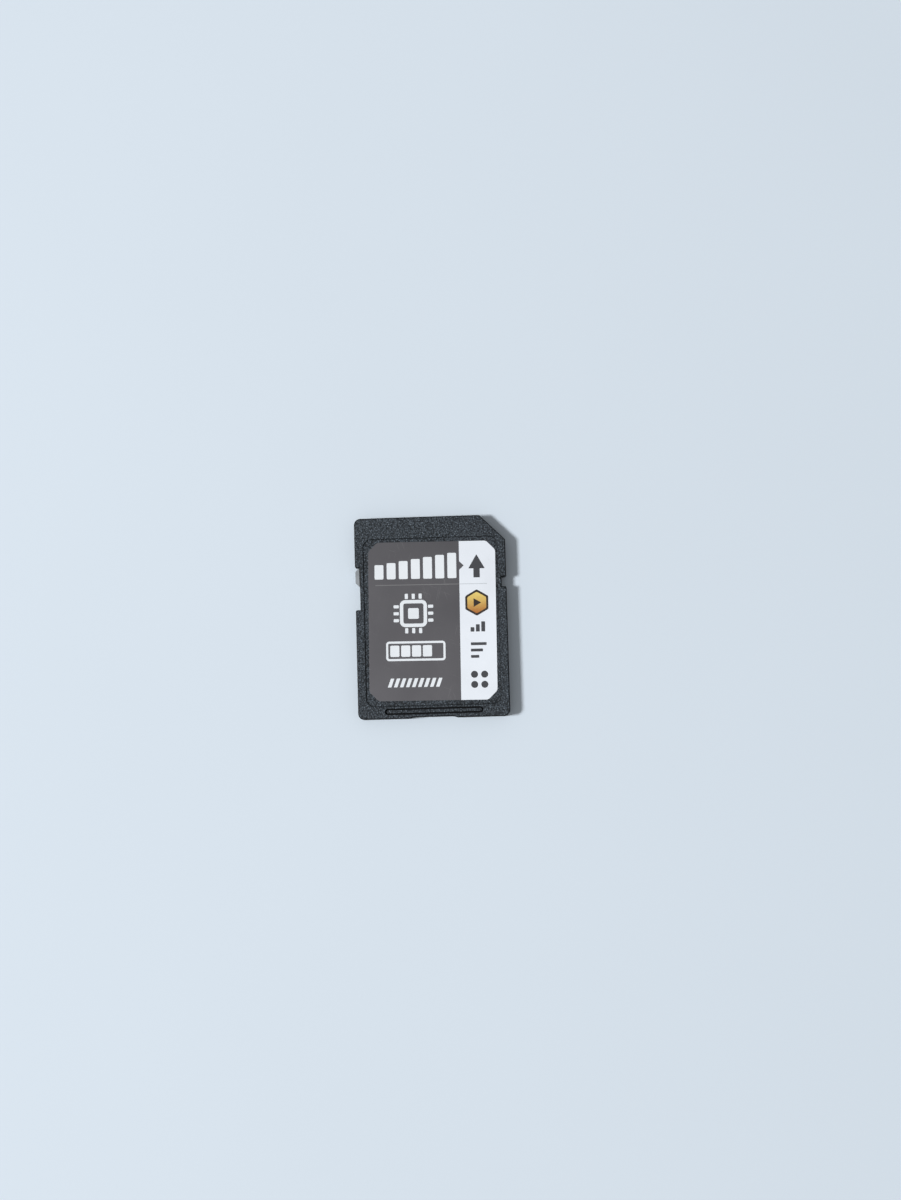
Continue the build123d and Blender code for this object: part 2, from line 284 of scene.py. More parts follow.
def levelness(tree):
    """One where a face looks straight up or down, and nothing where it is upright."""
    normal = node(tree, "TexCoord").outputs["Normal"]
    return maths(tree, "ABSOLUTE", axis_of(tree, normal, "Z"))


def noise(tree, place, density, detail=2.0, roughness=0.5):
    """Noise texture with so many lumps per metre."""
    inputs = {"Vector": place, "Scale": density, "Detail": detail, "Roughness": roughness}
    return node(tree, "TexNoise", inputs).outputs["Fac"]


def cells(tree, place, density):
    """Outputs of a cell texture with so many cells per metre."""
    return node(tree, "TexVoronoi", {"Vector": place, "Scale": density}).outputs


def seen_ray(tree):
    """One for rays that show a surface to the camera, straight, mirrored or through glass."""
    path = node(tree, "LightPath").outputs
    return maths(tree, "MAXIMUM", path["Is Camera Ray"],
                 maths(tree, "MAXIMUM", path["Is Glossy Ray"], path["Is Transmission Ray"]))


def new_group(name, measure, default, results):
    """Empty shader node group that takes a position and one measure, and gives some values."""
    group = bpy.data.node_groups.new(name, "ShaderNodeTree")
    group.interface.new_socket("Position", in_out="INPUT", socket_type="NodeSocketVector")
    socket = group.interface.new_socket(measure, in_out="INPUT", socket_type="NodeSocketFloat")
    socket.default_value = default
    for result in results:
        group.interface.new_socket(result, in_out="OUTPUT", socket_type="NodeSocketFloat")
    return group, group.nodes.new("NodeGroupInput").outputs, group.nodes.new("NodeGroupOutput")


def grain_group():
    """Spark-eroded grain: domes as a height for bump, tips which the finishes paint as glints, and a broad
    mottle.
    """
    name = "Moulded grain"
    if name in bpy.data.node_groups:
        return bpy.data.node_groups[name]
    group, given, put = new_group(name, "Density", 4000.0, ("Height", "Tips", "Mottle"))
    place = given["Position"]
    density = given["Density"]
    dome_density = times(group, density, 1.3)
    fleck_density = times(group, density, 1.4)
    mottle_density = maths(group, "DIVIDE", density, 12.0)
    elsewhere = node(group, "VectorMath", {0: place, 1: mm(13.0, 7.0, 3.0)}, operation="ADD")
    lumps = noise(group, place, density, detail=3.0, roughness=0.6)
    domes = maths(group, "SUBTRACT", 1.0, cells(group, place, dome_density)["Distance"])
    height = plus(group, times(group, lumps, 0.4), times(group, domes, 0.6))
    flecks = noise(group, elsewhere.outputs["Vector"], fleck_density)
    tips = times(group, ramp(group, flecks, 0.50, 0.62), ramp(group, domes, 0.62, 0.85))
    give(group, put, {"Height": height, "Tips": tips, "Mottle": noise(group, place, mottle_density)})
    return group


def marks_group():
    """Traces of handling: fine straight scratches in patches, and specks of dust."""
    name = "Handling marks"
    if name in bpy.data.node_groups:
        return bpy.data.node_groups[name]
    group, given, put = new_group(name, "Scratch width", 0.06 * MM, ("Scratches", "Dust"))
    slenderness = 60.0
    patch_density = 230.0
    speck_density = 900.0
    place = given["Position"]
    across = maths(group, "DIVIDE", 1.0, given["Scratch width"])
    along = maths(group, "DIVIDE", across, slenderness)
    stretch = node(group, "CombineXYZ", {"X": along, "Y": across, "Z": along}).outputs["Vector"]
    scratches = 0.0
    for turn in (72.0, 104.0, 21.0):
        inputs = {"Vector": place, "Angle": radians(turn)}
        turned = node(group, "VectorRotate", inputs, rotation_type="Z_AXIS").outputs["Vector"]
        drawn = node(group, "VectorMath", {0: turned, 1: stretch}, operation="MULTIPLY").outputs["Vector"]
        streak = ramp(group, noise(group, drawn, 1.0, detail=0.0), 0.77, 0.83)
        scratches = maths(group, "MAXIMUM", scratches, streak)
    patches = ramp(group, noise(group, place, patch_density, detail=1.0), 0.52, 0.70)
    specks = cells(group, place, speck_density)
    chance = node(group, "SeparateColor", {"Color": specks["Color"]}).outputs["Green"]
    chosen = ramp(group, chance, 0.94, 0.96)
    dot = ramp(group, specks["Distance"], 0.075, 0.05)
    give(group, put, {"Scratches": times(group, scratches, patches), "Dust": times(group, chosen, dot)})
    return group


def use_group(tree, group, **inputs):
    """Outputs of a shared node group, placed with its inputs."""
    return node(tree, "Group", inputs, node_tree=group).outputs


def fresh_material(name):
    """New material with a Principled shader, its tree and its shader."""
    material = bpy.data.materials.new(name)
    material.use_nodes = True
    tree = material.node_tree
    tree.nodes.clear()
    shader = node(tree, "BsdfPrincipled")
    node(tree, "OutputMaterial", {"Surface": shader.outputs["BSDF"]})
    return material, tree, shader


def bump(tree, shader, height, depth):
    """Raises the surface by a height map of a given depth."""
    raised = node(tree, "Bump", {"Height": height, "Distance": depth, "Strength": 1.0})
    give(tree, shader, {"Normal": raised.outputs["Normal"]})


def dusted(tree, under, dust, cover, grey):
    """Colour with grey specks of dust, which cover it in part."""
    return blend(tree, times(tree, dust, cover), under, (grey, grey, grey, 1.0))


# Finishes

def cover_finish(name, grained, smooth, covers):
    """Black plastic, grained on the broad outer faces and smooth on rims, sides and in grooves; the smooth
    faces take a far darker colour as painted shade, and the grained faces a lifted colour as painted sheen.
    """
    material, tree, shader = fresh_material(name)
    place = object_place(tree)
    height = axis_of(tree, place, "Z")
    # The smooth zone, painted darker, reaches onto the rounded rims, so that they show a painted dark line.
    broad = ramp(tree, levelness(tree), 0.94, 0.99)
    outside = maths(tree, "MAXIMUM", maths(tree, "GREATER_THAN", height, covers.grain_above),
                    maths(tree, "LESS_THAN", height, covers.grain_below))
    grain_zone = times(tree, broad, outside)
    surface = use_group(tree, grain_group(), Position=place, Density=1.0 / covers.grain)
    marks = use_group(tree, marks_group(), Position=place)
    # Painted shade and light: the grain's pits are darkened and its domes lightened in the colour.
    painted_relief_shade = blend(tree, ramp(tree, surface["Height"], 0.38, 0.68), shade(grained, covers.painted_pit_shade),
                  shade(grained, covers.painted_dome_shade))
    mottled = blend(tree, spread(tree, surface["Mottle"], 0.0, 0.3), painted_relief_shade,
                    shade(grained, covers.mottle_shade))
    # Painted glints: the tips of the grain are lightened in the colour.
    painted_glints = blend(tree, surface["Tips"], mottled, shade(grained, covers.painted_glint_shade))
    # Painted shade: rims, sides and grooves take the far darker smooth colour, darker still where the grain
    # is low.
    smooth_painted_shade = blend(tree, surface["Height"], shade(smooth, 0.7), shade(smooth, 1.4))
    body = blend(tree, grain_zone, smooth_painted_shade, painted_glints)
    polish = times(tree, times(tree, surface["Tips"], grain_zone), covers.tip_polish)
    matt = ramp(tree, grain_zone, 0.0, 1.0, covers.smooth_roughness, covers.grained_roughness)
    give(tree, shader, {
        "Base Color": dusted(tree, body, marks["Dust"], 0.45, 0.4),
        "Roughness": maths(tree, "SUBTRACT", matt, polish),
        "Specular IOR Level": covers.shine,
    })
    share = ramp(tree, grain_zone, 0.0, 1.0, covers.smooth_relief, 1.0)
    bump(tree, shader, times(tree, surface["Height"], share), covers.grain_depth)
    return material


def moulded_finish(name, rgb, grain, roughness, painted_glint_shade):
    """Moulded plastic with a fine even grain of a given size, and glints painted onto the tips of the grain.
    """
    depth = 0.004 * MM
    swing = 0.1
    material, tree, shader = fresh_material(name)
    place = object_place(tree)
    surface = use_group(tree, grain_group(), Position=place, Density=1.0 / grain)
    marks = use_group(tree, marks_group(), Position=place)
    mottled = blend(tree, spread(tree, surface["Mottle"]), shade(rgb, 0.85), shade(rgb, 1.15))
    # Painted glints: the tips of the grain are lightened in the colour.
    painted_glints = blend(tree, surface["Tips"], mottled, shade(rgb, painted_glint_shade))
    give(tree, shader, {
        "Base Color": dusted(tree, painted_glints, marks["Dust"], 0.5, 0.5),
        "Roughness": spread(tree, surface["Height"], roughness + swing, roughness - swing),
    })
    bump(tree, shader, surface["Height"], depth)
    return material


def film_finish(name, rgb, roughness, painted_sheen_drift=0.03):
    """Printed film: a painted sheen that grows lighter to one corner, print dots, handling marks and a soft
    peel.
    """
    tone_density = 160.0
    dot_density = 9000.0
    peel_density = 2200.0
    peel_depth = 0.002 * MM
    scratch = (0.45, 0.45, 0.46)
    swing = 0.05
    material, tree, shader = fresh_material(name)
    place = object_place(tree)
    marks = use_group(tree, marks_group(), Position=place)
    tone = noise(tree, place, tone_density, detail=3.0)
    uneven = blend(tree, spread(tree, tone), shade(rgb, 0.96), shade(rgb, 1.04))
    # Painted sheen: the colour is lightened towards one corner and darkened towards the other.
    to_corner = node(tree, "VectorMath", {0: place, 1: (-1.0, -1.0, 0.0)}, operation="DOT_PRODUCT")
    level = ramp(tree, to_corner.outputs["Value"], -LABEL_REACH, LABEL_REACH, 1.0 - painted_sheen_drift, 1.0 + painted_sheen_drift)
    painted_sheen = blend(tree, 1.0, uneven, level, way="MULTIPLY")
    dots = cells(tree, place, dot_density)["Distance"]
    inked = blend(tree, ramp(tree, dots, 0.2, 0.8, 0.0, 0.25), painted_sheen, shade(rgb, 1.08))
    worn = blend(tree, times(tree, marks["Scratches"], 0.18), inked, solid(scratch))
    matt = spread(tree, tone, roughness - swing, roughness + swing)
    give(tree, shader, {
        "Base Color": dusted(tree, worn, marks["Dust"], 0.6, 0.6),
        "Roughness": plus(tree, matt, times(tree, marks["Scratches"], 0.25)),
    })
    bump(tree, shader, noise(tree, place, peel_density, detail=1.0), peel_depth)
    return material


def amber_finish(name, front_colour, rear_colour, rear, front):
    """Amber ink that deepens towards the rear."""
    tone_density = 3000.0
    material, tree, shader = fresh_material(name)
    place = object_place(tree)
    tone = noise(tree, place, tone_density)
    level = plus(tree, ramp(tree, axis_of(tree, place, "Y"), rear, front), spread(tree, tone, -0.05, 0.05))
    give(tree, shader, {
        "Base Color": blend(tree, level, solid(rear_colour), solid(front_colour)),
        "Roughness": spread(tree, tone, 0.38, 0.48),
    })
    return material


def gold_finish(name, rgb, middle):
    """Gold plate, with the two wipe marks that a socket's springs leave along a contact."""
    tone_density = 1500.0
    streak_density = (9000.0, 260.0, 1.0)
    mark_place = 0.16 * MM
    mark_outer = 0.08 * MM
    mark_inner = 0.02 * MM
    depth = 0.003 * MM
    material, tree, shader = fresh_material(name)
    place = object_place(tree, middle)
    tone = noise(tree, place, tone_density, detail=4.0)
    streaks = noise(tree, stretched(tree, place, streak_density), 1.0)
    across = maths(tree, "ABSOLUTE", axis_of(tree, place, "X"))
    offset = maths(tree, "ABSOLUTE", maths(tree, "SUBTRACT", across, mark_place))
    wiped = times(tree, ramp(tree, offset, mark_outer, mark_inner), ramp(tree, streaks, 0.38, 0.6))
    give(tree, shader, {
        "Base Color": blend(tree, wiped, solid(rgb), shade(rgb, 0.87)),
        "Metallic": 1.0,
        "Roughness": plus(tree, spread(tree, tone, 0.2, 0.32), times(tree, wiped, 0.18)),
    })
    bump(tree, shader, maths(tree, "SUBTRACT", tone, wiped), depth)
    return material


def board_finish(name, mask, laminate_dark, laminate_pale):
    """Green solder mask over faint traces, with the bare laminate at the edges."""
    weave_density = 420.0
    jog_density = (60.0, 260.0, 1.0)
    jog = 1.5 * MM
    half_pitch = 0.45 * MM
    trace_outer = 0.12 * MM
    trace_inner = 0.09 * MM
    trace_height = 0.012 * MM
    material, tree, shader = fresh_material(name)
    place = object_place(tree)
    fibres = {"Vector": place, "Scale": weave_density, "Distortion": 1.4, "Detail": 2.0}
    weave = node(tree, "TexWave", fibres).outputs["Fac"]
    wander = times(tree, noise(tree, stretched(tree, place, jog_density), 1.0), jog)
    lane = maths(tree, "PINGPONG", plus(tree, axis_of(tree, place, "X"), wander), half_pitch)
    trace = ramp(tree, lane, trace_outer, trace_inner)
    lacquer = blend(tree, trace, solid(mask), shade(mask, 1.9))
    laminate = blend(tree, weave, solid(laminate_dark), solid(laminate_pale))
    give(tree, shader, {
        "Base Color": blend(tree, ramp(tree, levelness(tree), 0.4, 0.6), laminate, lacquer),
        "Roughness": ramp(tree, weave, 0.0, 1.0, 0.3, 0.42),
    })
    bump(tree, shader, plus(tree, trace, times(tree, weave, 0.2)), trace_height)
    return material


def passive_finish(name, core, tin, middle, axis):
    """Small chip part: a ceramic core between tinned ends."""
    half_core = 0.25 * MM
    edge = 0.01 * MM
    tone_density = 9000.0
    depth = 0.004 * MM
    material, tree, shader = fresh_material(name)
    place = object_place(tree, middle)
    along = maths(tree, "ABSOLUTE", axis_of(tree, place, axis))
    tone = noise(tree, place, tone_density, detail=3.0)
    ends = ramp(tree, along, half_core, half_core + edge)
    ceramic = blend(tree, tone, shade(core, 0.85), shade(core, 1.15))
    give(tree, shader, {
        "Base Color": blend(tree, ends, ceramic, solid(tin)),
        "Metallic": ends,
        "Roughness": spread(tree, tone, 0.35, 0.5),
    })
    bump(tree, shader, tone, depth)
    return material


def paint(piece, *materials):
    """Gives a piece its finishes."""
    piece.data.materials.clear()
    for material in materials:
        piece.data.materials.append(material)


def dress(name, material):
    """Gives a CAD node its finish."""
    paint(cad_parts[name], material)


# Modelling

LEVEL = 0.9      # a face looks up or down where its normal has at least this much of Z


def deselect():
    """Leaves nothing selected and no mesh open."""
    if bpy.context.object and bpy.context.object.mode != "OBJECT":
        bpy.ops.object.mode_set(mode="OBJECT")
    bpy.ops.object.select_all(action="DESELECT")


def select_only(*pieces):
    """Selects these pieces and nothing else, and makes the first one active."""
    deselect()
    for piece in pieces:
        piece.select_set(True)
    bpy.context.view_layer.objects.active = pieces[0]


def settle():
    """Fixes the place, turn and size of the selected piece in its mesh."""
    bpy.ops.object.transform_apply(location=True, rotation=True, scale=True)


def rename(piece, name):
    """Names a piece and its mesh."""
    piece.name = name
    piece.data.name = name


def begin(name):
    """Names the primitive just added, fixes its size in its mesh and opens it."""
    piece = bpy.context.object
    rename(piece, name)
    settle()
    bpy.ops.object.mode_set(mode="EDIT")
    return piece


def box_around(middle, half_width, half_length):
    """Left, right, rear and front of a box about its middle."""
    return (middle[0] - half_width, middle[0] + half_width, middle[1] - half_length, middle[1] + half_length)


def block(name, box, heights):
    """Open block between its left, right, rear and front planes and two heights."""
    left, right, rear, front = box
    low, high = heights
    deselect()
    middle = ((left + right) / 2, (rear + front) / 2, (low + high) / 2)
    bpy.ops.mesh.primitive_cube_add(size=1.0, location=middle,
                                    scale=(right - left, front - rear, high - low))
    return begin(name)


def prism(name, middle, heights, sides, radius, turn=0.0, widen=1.0):
    """Open upright prism with equal sides, widened along its own X axis and then turned."""
    low, high = heights
    deselect()
    place = (middle[0], middle[1], (low + high) / 2)
    bpy.ops.mesh.primitive_cylinder_add(vertices=sides, radius=radius, depth=high - low, location=place,
                                        rotation=(0.0, 0.0, turn), scale=(widen, 1.0, 1.0))
    return begin(name)


def pick(piece, kind, test):
    """Selects the open mesh's vertices, edges or faces that pass a test."""
    mesh = bmesh.from_edit_mesh(piece.data)
    mesh.select_mode = {{"verts": "VERT", "edges": "EDGE", "faces": "FACE"}[kind]}
    for group in (mesh.verts, mesh.edges, mesh.faces):
        for part in group:
            part.select_set(False)
    for part in getattr(mesh, kind):
        if test(part):
            part.select_set(True)
    mesh.select_flush_mode()
    bmesh.update_edit_mesh(piece.data)


def is_upright(edge):
    """An edge that runs along Z."""
    first, second = edge.verts
    return abs(first.co.z - second.co.z) > 0.5 * edge.calc_length()


def faces_up(face):
    """A face that looks up."""
    return face.normal.z > LEVEL


def is_level(face):
    """A face that looks up or down."""
    return abs(face.normal.z) > LEVEL


def is_top_rim(edge):
    """A sharp edge around an upper face."""
    sharp = radians(45.0)
    return edge.calc_face_angle(0.0) > sharp and any(faces_up(face) for face in edge.link_faces)


def bevel(offset, segments=1):
    """Bevels the picked edges of the open mesh."""
    bpy.ops.mesh.bevel(offset=offset, offset_type="OFFSET", segments=segments, profile=0.5, affect="EDGES")


def round_upright_edges(piece, radius, segments=4, corner=90.0):
    """Rounds the corners of an upright shape, seen from above."""
    pick(piece, "edges", is_upright)
    bevel(radius * tan(radians(180.0 - corner) / 2), segments)


def hollow_out(piece, wall):
    """Cuts a shape through, so that only a wall around its outline is left."""
    pick(piece, "faces", is_level)
    bpy.ops.mesh.inset(thickness=wall, use_individual=True)
    bpy.ops.mesh.bridge_edge_loops()


def close(piece):
    """Closes a mesh, with soft shading across its gentle edges."""
    gentle = radians(30.0)
    bpy.ops.mesh.select_all(action="SELECT")
    bpy.ops.mesh.normals_make_consistent(inside=False)
    select_only(piece)
    bpy.ops.object.shade_smooth_by_angle(angle=gentle)
    bpy.ops.object.modifier_add(type="WEIGHTED_NORMAL")
    piece.modifiers[-1].keep_sharp = True
    bpy.ops.object.modifier_apply(modifier=piece.modifiers[-1].name)
    return piece


def join(name, pieces):
    """Makes several pieces one."""
    select_only(*pieces)
    bpy.ops.object.join()
    rename(pieces[0], name)
    return pieces[0]


def copy_to(piece, offset=(0.0, 0.0), turn=0.0, middle=(0.0, 0.0)):
    """Copy of a piece with its own mesh, turned about a point and then moved."""
    select_only(piece)
    bpy.ops.object.duplicate(linked=False)
    twin = bpy.context.object
    pivot = Vector((middle[0], middle[1], 0.0))
    turned = pivot.copy()
    turned.rotate(Euler((0.0, 0.0, turn)))
    twin.rotation_euler = (0.0, 0.0, turn)
    twin.location = pivot - turned + Vector((offset[0], offset[1], 0.0))
    settle()
    return twin


def row(piece, step, count):
    """A piece and its copies in a row, each moved on by a step along X and Y."""
    copies = [copy_to(piece, (step[0] * place, step[1] * place)) for place in range(1, count)]
    return [piece] + copies


# Print marks

def dry_ink(piece):
    """Softens the upper edge of an open print mark and closes it."""
    softening = 0.003 * MM
    pick(piece, "edges", is_top_rim)
    bevel(softening)
    return close(piece)


def ink_bar(name, box, heights, rounding, slant=0.0):
    """Printed bar with rounded corners, its front end moved sideways by a slant."""
    piece = block(name, box, heights)
    if slant:
        left, right, rear, front = box
        pick(piece, "verts", lambda vert: vert.co.y > (rear + front) / 2)
        bpy.ops.transform.translate(value=(slant, 0.0, 0.0))
    round_upright_edges(piece, rounding, segments=3)
    return dry_ink(piece)


def ink_frame(name, box, heights, rounding, wall):
    """Printed outline of a bar."""
    piece = block(name, box, heights)
    round_upright_edges(piece, rounding, segments=8)
    hollow_out(piece, wall)
    return dry_ink(piece)


def ink_arrow_head(name, base, heights, half_width, reach, turn=0.0):
    """Printed triangle on the middle of its base, its tip to the front or turned from there."""
    blunting = half_width * 0.06
    radius = reach * 2 / 3
    widen = half_width / (radius * sin(radians(60.0)))
    rise = Vector((0.0, reach / 3, 0.0))
    rise.rotate(Euler((0.0, 0.0, turn)))
    middle = (base[0] + rise.x, base[1] + rise.y)
    piece = prism(name, middle, heights, sides=3, radius=radius, turn=turn, widen=widen)
    pick(piece, "edges", is_upright)
    bevel(blunting, segments=2)
    return dry_ink(piece)


def ink_hexagon(name, middle, heights, reach, rounding):
    """Printed six-sided mark with rounded corners, a corner to the front."""
    piece = prism(name, middle, heights, sides=6, radius=reach)
    round_upright_edges(piece, rounding, corner=120.0)
    return dry_ink(piece)


def rising_bars(name, first_box, heights, count, pitch, rise, rounding):
    """Row of printed bars, each further right than the one before and longer at the front."""
    left, right, rear, front = first_box
    boxes = [(left + pitch * step, right + pitch * step, rear, front + rise * step) for step in range(count)]
    return [ink_bar(name, box, heights, rounding) for box in boxes]


def lay_on_card(piece, turn):
    """Turns a piece drawn about the label's middle to where the label lies, and lets it ride on the card."""
    select_only(piece)
    piece.rotation_euler = (0.0, 0.0, turn)
    piece.location = (LABEL_MIDDLE.x, LABEL_MIDDLE.y, 0.0)
    settle()
    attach(piece, "card")


# Operators

class CARD_OT_covers(bpy.types.Operator):
    """Finishes the two covers and the lock slider"""
    bl_idname = "card.covers"
    bl_label = "Covers and Slider"
    bl_options = {"REGISTER", "UNDO"}

    def execute(self, context):
        colours = context.scene.card_colours
        covers = context.scene.card_covers
        cover = cover_finish("black_grained_plastic", colours.grained, colours.smooth, covers)
        slider = moulded_finish("pale_slider_plastic", colours.slider, grain=0.12 * MM, roughness=0.42,
                                painted_glint_shade=1.05)
        dress("top_cover", cover)
        dress("bottom_cover", cover)
        dress("lock_slider", slider)
        return {"FINISHED"}


class CARD_OT_label(bpy.types.Operator):
    """Models the sticker with its dark and white fields"""
    bl_idname = "card.label"
    bl_label = "Label"
    bl_options = {"REGISTER", "UNDO"}

    def execute(self, context):
        sizes = context.scene.card_label
        label = self.cut_film(sizes)
        self.colour_fields(label, sizes, context.scene.card_colours)
        lay_on_card(label, sizes.turn)
        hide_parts("front_label")
        return {"FINISHED"}

    def cut_film(self, sizes):
        """Film with cut corners and a soft upper edge, divided where the white field begins."""
        outline = box_around((0.0, 0.0), sizes.width / 2, sizes.length / 2)
        label = block("label_film", outline, (LABEL_LOW.z, LABEL_HIGH.z))
        pick(label, "edges", is_upright)
        bevel(sizes.corner_cut)
        round_upright_edges(label, sizes.corner_radius, segments=5, corner=135.0)
        pick(label, "edges", lambda edge: all(vert.co.z > LABEL_MIDDLE.z for vert in edge.verts))
        bevel(sizes.edge_radius, segments=2)
        bpy.ops.mesh.select_all(action="SELECT")
        bpy.ops.mesh.bisect(plane_co=(sizes.field_edge, 0.0, 0.0), plane_no=(1.0, 0.0, 0.0))
        return close(label)

    def colour_fields(self, label, sizes, colours):
        """Dark print, the white field at its right and the pale cut edge."""
        white_slot = 1
        core_slot = 2
        edge_slope = 0.3
        dark = film_finish("dark_printed_film", colours.dark_field, sizes.film_roughness, sizes.painted_sheen_drift)
        white = film_finish("white_film", colours.white_field, sizes.film_roughness)
        core = film_finish("film_core", colours.film_core, sizes.core_roughness)
        paint(label, dark, white, core)
        for face in label.data.polygons:
            if face.normal.z < edge_slope:
                face.material_index = core_slot
            elif face.center.x > sizes.field_edge:
                face.material_index = white_slot


class PrintStep:
    """What the steps of the print share: the ink, its heights, the thin line and where marks are put."""

    def ink(self, context, name, rgb):
        """Finish of an ink."""
        return film_finish(name, rgb, context.scene.card_label.ink_roughness)

    def heights(self, context, layer=0):
        """Lower and upper face of the ink; a further layer lies on the one below."""
        thickness = context.scene.card_label.ink
        lap = thickness / 3
        return LABEL_HIGH.z - lap, LABEL_HIGH.z + thickness + layer * lap

    def put(self, context, name, pieces, material):
        """Joins a group of marks, inks it and lays it on the card."""
        piece = join(name, pieces)
        paint(piece, material)
        lay_on_card(piece, context.scene.card_label.turn)

    def divide(self, context, name, left, right, material):
        """Prints one half of the thin line across both fields."""
        sizes = context.scene.card_label
        half = sizes.divider_width / 2
        box = (left, right, sizes.divider - half, sizes.divider + half)
        line = ink_bar(name, box, self.heights(context), rounding=half / 3)
        self.put(context, name, [line], material)


class CARD_OT_dark_marks(bpy.types.Operator, PrintStep):
    """Prints the pale signs on the dark field"""
    bl_idname = "card.dark_marks"
    bl_label = "Marks on the Dark Field"
    bl_options = {"REGISTER", "UNDO"}

    def execute(self, context):
        colours = context.scene.card_colours
        sizes = context.scene.card_label
        heights = self.heights(context)
        pale = self.ink(context, "pale_ink", colours.pale_ink)
        self.put(context, "level_bars", self.level_bars(heights), pale)
        self.put(context, "chip_sign", self.chip_sign(heights), pale)
        self.put(context, "gauge_sign", self.gauge_sign(heights), pale)
        self.put(context, "slanted_stripes", self.stripes(heights), pale)
        faint = self.ink(context, "faint_pale_ink", colours.faint_pale_ink)
        self.divide(context, "divider_line", sizes.divider_left, sizes.field_edge - sizes.divider_gap, faint)
        return {"FINISHED"}

    def level_bars(self, heights):
        """Seven bold bars that rise from left to right."""
        first_box = mm(-9.1, -7.68, 6.7, 9.0)
        return rising_bars("level_bar", first_box, heights, count=7, pitch=1.93 * MM, rise=0.29 * MM,
                           rounding=0.18 * MM)

    def chip_sign(self, heights):
        """Sign for a chip: a frame with three legs on each side and a square inside."""
        middle = mm(-3.0, 1.2)
        half = 2.15 * MM
        core_half = 0.85 * MM
        leg_gap = 0.16 * MM
        leg_reach = 1.0 * MM
        leg_half_width = 0.25 * MM
        leg_pitch = 1.1 * MM
        outline = ink_frame("chip_frame", box_around(middle, half, half), heights, rounding=0.85 * MM,
                            wall=0.55 * MM)
        core = ink_bar("chip_core", box_around(middle, core_half, core_half), heights, rounding=0.2 * MM)
        side = middle[0] + half
        first = middle[1] - leg_pitch
        leg_box = (side + leg_gap, side + leg_reach, first - leg_half_width, first + leg_half_width)
        legs = row(ink_bar("chip_leg", leg_box, heights, rounding=0.12 * MM), (0.0, leg_pitch), count=3)
        pieces = [outline, core] + legs
        for quarter in (1, 2, 3):
            pieces += [copy_to(leg, turn=radians(90.0 * quarter), middle=middle) for leg in legs]
        return pieces

    def gauge_sign(self, heights):
        """Frame with four full cells and an empty place."""
        frame_box = mm(-7.4, 2.0, -6.3, -3.2)
        cell_box = mm(-6.75, -5.3, -5.65, -3.85)
        cell_pitch = 1.72 * MM
        outline = ink_frame("gauge_frame", frame_box, heights, rounding=0.5 * MM, wall=0.34 * MM)
        cell = ink_bar("gauge_cell", cell_box, heights, rounding=0.2 * MM)
        return [outline] + row(cell, (cell_pitch, 0.0), count=4)

    def stripes(self, heights):
        """Row of nine small slanted bars."""
        first_box = mm(-7.2, -6.65, -10.45, -9.05)
        pitch = 0.95 * MM
        stripe = ink_bar("stripe", first_box, heights, rounding=0.06 * MM, slant=0.5 * MM)
        return row(stripe, (pitch, 0.0), count=9)


class CARD_OT_white_marks(bpy.types.Operator, PrintStep):
    """Prints the grey signs on the white field, and the pointer of the dark field"""
    bl_idname = "card.white_marks"
    bl_label = "Marks on the White Field"
    bl_options = {"REGISTER", "UNDO"}

    def execute(self, context):
        colours = context.scene.card_colours
        sizes = context.scene.card_label
        heights = self.heights(context)
        grey = self.ink(context, "grey_ink", colours.grey_ink)
        like_field = film_finish("pointer_ink", colours.dark_field, sizes.film_roughness)
        self.put(context, "field_pointer", self.field_pointer(heights, sizes.field_edge), like_field)
        self.put(context, "arrow_sign", self.arrow_sign(heights), grey)
        self.put(context, "step_sign", self.step_sign(heights), grey)
        self.put(context, "line_sign", self.line_sign(heights), grey)
        self.put(context, "dot_sign", self.dot_sign(heights), grey)
        faint = self.ink(context, "faint_grey_ink", colours.faint_grey_ink)
        self.divide(context, "divider_end", sizes.field_edge + sizes.divider_gap, sizes.divider_right, faint)
        return {"FINISHED"}

    def field_pointer(self, heights, field_edge):
        """Small tip of the dark field that points into the white one."""
        lap = 0.04 * MM
        base = (field_edge - lap, 8.7 * MM)
        return [ink_arrow_head("field_pointer", base, heights, half_width=0.74 * MM, reach=0.75 * MM,
                               turn=radians(-90.0))]

    def arrow_sign(self, heights):
        """Arrow towards the contact end."""
        base = mm(7.1, 8.2)
        stem_half_width = 0.5 * MM
        stem_rear = 6.75 * MM
        stem_box = (base[0] - stem_half_width, base[0] + stem_half_width, stem_rear, base[1])
        head = ink_arrow_head("arrow_head", base, heights, half_width=1.3 * MM, reach=2.25 * MM)
        return [head, ink_bar("arrow_stem", stem_box, heights, rounding=0.06 * MM)]

    def step_sign(self, heights):
        """Three blocks that rise from left to right."""
        first_box = mm(6.0, 6.6, -1.85, -1.15)
        return rising_bars("step_block", first_box, heights, count=3, pitch=0.85 * MM, rise=0.45 * MM,
                           rounding=0.08 * MM)

    def line_sign(self, heights):
        """Three short lines of falling length."""
        left, right, rear, front = mm(6.0, 8.5, -4.0, -3.55)
        pitch = 1.0 * MM
        loss = 0.6 * MM
        boxes = [(left, right - loss * step, rear - pitch * step, front - pitch * step) for step in range(3)]
        return [ink_bar("short_line", box, heights, rounding=0.1 * MM) for box in boxes]

    def dot_sign(self, heights):
        """Four dots in a square."""
        first_place = mm(6.5, -10.2)
        pitch = 1.6 * MM
        dot = dry_ink(prism("dot", first_place, heights, sides=32, radius=0.55 * MM))
        pair = row(dot, (pitch, 0.0), count=2)
        return [twin for first in pair for twin in row(first, (0.0, pitch), count=2)]


